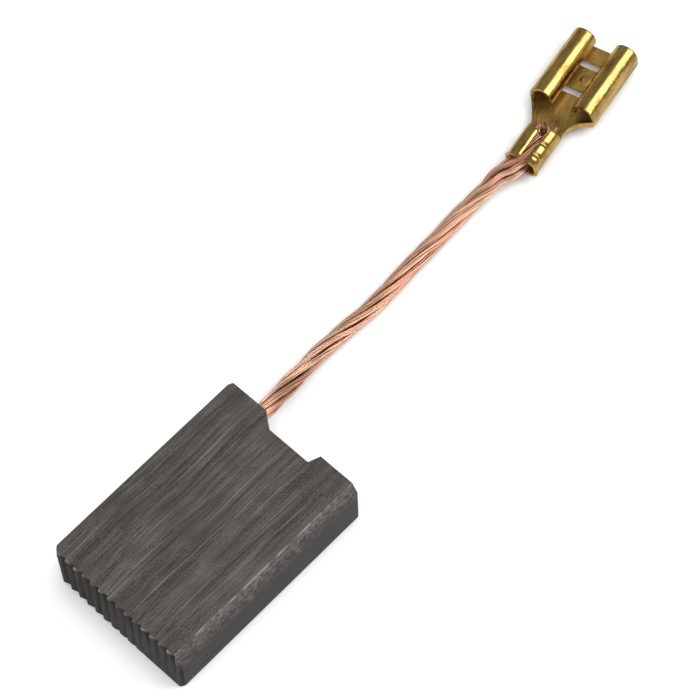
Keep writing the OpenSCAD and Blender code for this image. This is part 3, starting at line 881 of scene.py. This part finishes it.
class BRUSH_OT_receptacle(bpy.types.Operator):
    """Bend the brass sheet into the crimp, the neck and the rolled socket"""
    bl_idname = "brush.receptacle"
    bl_label = "Brass Receptacle"

    def execute(self, context):
        settings = context.scene.brush_receptacle
        piece = make_receptacle()
        floor = TERMINAL @ Vector((SOCKET_X + 1, 0, 0)) * MM
        outward(piece, floor, Vector((0, 0, -1)))
        put_material(piece, brass(settings, "burnished_brass_sheet", 0.16))
        piece.data.materials.append(brass(settings, "satin_brass_sheet", 0.4))
        wall = piece.modifiers.new("thickness", "SOLIDIFY")
        wall.thickness, wall.offset = settings.sheet, -1
        wall.material_offset = 1
        bevel = piece.modifiers.new("edges", "BEVEL")
        bevel.width, bevel.segments, bevel.limit_method = settings.edge, 2, "ANGLE"
        bevel.angle_limit = math.radians(50)
        apply_modifiers(piece)
        bpy.ops.object.shade_smooth_by_angle(angle=math.radians(40))
        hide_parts("spade_terminal")
        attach(piece, "root")
        return {"FINISHED"}


class BRUSH_OT_rope(bpy.types.Operator):
    """Lay the strands of the copper rope from the block to the crimp"""
    bl_idname = "brush.rope"
    bl_label = "Copper Rope"

    def execute(self, context):
        settings = context.scene.brush_rope
        piece, path = make_rope(settings)
        put_material(piece, copper(settings))
        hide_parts("shunt_cable")
        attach(piece, "root")
        return {"FINISHED"}


class BRUSH_OT_stage(bpy.types.Operator):
    """Set the floor, the lights and the camera"""
    bl_idname = "brush.stage"
    bl_label = "Stage"

    def execute(self, context):
        settings = context.scene.brush_stage
        scene = context.scene
        clear_selection()
        bpy.ops.mesh.primitive_circle_add(
            vertices=64, radius=1.2, fill_type="NGON", location=(0, 0, -0.01 * MM))
        floor = context.object
        floor.name = "floor"
        put_material(floor, white_floor(settings.card))

        world = bpy.data.worlds.new("room")
        scene.world = world
        world.use_nodes = True
        ground = world.node_tree.nodes["Background"]
        ground.inputs["Color"].default_value = (1, 1, 1, 1)
        ground.inputs["Strength"].default_value = settings.ambient

        # A long softbox on the object's right gives the rolls their bright lines, and a
        # square one over the toothed end lights the block's wide face
        middle = Vector((25, 0, 0)) * MM
        lamp_distance = 0.6
        for name, aim, long_axis, size, power in (
            ("key_strip", (0.5, -0.38, 0.78), (-0.15, 0.89, 0.45), (0.5, 0.22), settings.key),
            ("fill_softbox", (-0.5, -0.25, 0.83), (0, 1, 0), (0.6, 0.6), settings.fill),
        ):
            light = bpy.data.lights.new(name, "AREA")
            light.shape, light.energy = "RECTANGLE", power
            light.size, light.size_y = size
            lamp = bpy.data.objects.new(name, light)
            toward = Vector(aim).normalized()
            across = toward.cross(Vector(long_axis)).normalized()
            turn = Matrix((across.cross(toward), across, toward)).transposed().to_4x4()
            turn.translation = middle + toward * lamp_distance
            lamp.matrix_world = turn
            context.collection.objects.link(lamp)

        camera = bpy.data.objects.new("camera", bpy.data.cameras.new("camera"))
        camera.data.lens = settings.lens
        camera.data.sensor_width = 36
        camera.data.clip_start = 0.01
        right, up = Vector((0.68453, -0.72880, -0.01637)), Vector((0.65073, 0.60077, 0.46437))
        back = Vector((-0.32860, -0.32852, 0.88549))
        place = Matrix((right, up, back)).transposed().to_4x4()
        place.translation = Vector((-75.402, -94.455, 266.581)) * MM
        camera.matrix_world = place
        context.collection.objects.link(camera)
        scene.camera = camera
        scene.view_settings.view_transform = "Standard"
        return {"FINISHED"}


class BRUSH_PT_workshop(bpy.types.Panel):
    """Panel in the 3D view's sidebar"""
    bl_idname = "BRUSH_PT_workshop"
    bl_label = "Carbon Brush"
    bl_space_type = "VIEW_3D"
    bl_region_type = "UI"
    bl_category = "Carbon Brush"

    def draw(self, context):
        for name, operator in STEPS:
            box = self.layout.box()
            settings = getattr(context.scene, name)
            for key in settings.bl_rna.properties.keys():
                if key not in ("rna_type", "name"):
                    box.prop(settings, key)
            box.operator(operator)


STEPS = [
    ("brush_graphite", "brush.graphite_block"),
    ("brush_powder", "brush.tamping"),
    ("brush_receptacle", "brush.receptacle"),
    ("brush_rope", "brush.rope"),
    ("brush_stage", "brush.stage"),
]
SETTINGS = {
    "brush_graphite": GraphiteSettings,
    "brush_powder": PowderSettings,
    "brush_receptacle": ReceptacleSettings,
    "brush_rope": RopeSettings,
    "brush_stage": StageSettings,
}
CLASSES = [
    *SETTINGS.values(), BRUSH_OT_graphite_block, BRUSH_OT_tamping, BRUSH_OT_receptacle,
    BRUSH_OT_rope, BRUSH_OT_stage, BRUSH_PT_workshop,
]


def register():
    for cls in CLASSES:
        bpy.utils.register_class(cls)
    for name, cls in SETTINGS.items():
        setattr(bpy.types.Scene, name, bpy.props.PointerProperty(type=cls))


def unregister():
    for name in SETTINGS:
        delattr(bpy.types.Scene, name)
    for cls in reversed(CLASSES):
        bpy.utils.unregister_class(cls)


def main():
    register()
    bpy.ops.brush.graphite_block()
    bpy.ops.brush.tamping()
    bpy.ops.brush.receptacle()
    bpy.ops.brush.rope()
    bpy.ops.brush.stage()


if __name__ == "__main__":
    main()
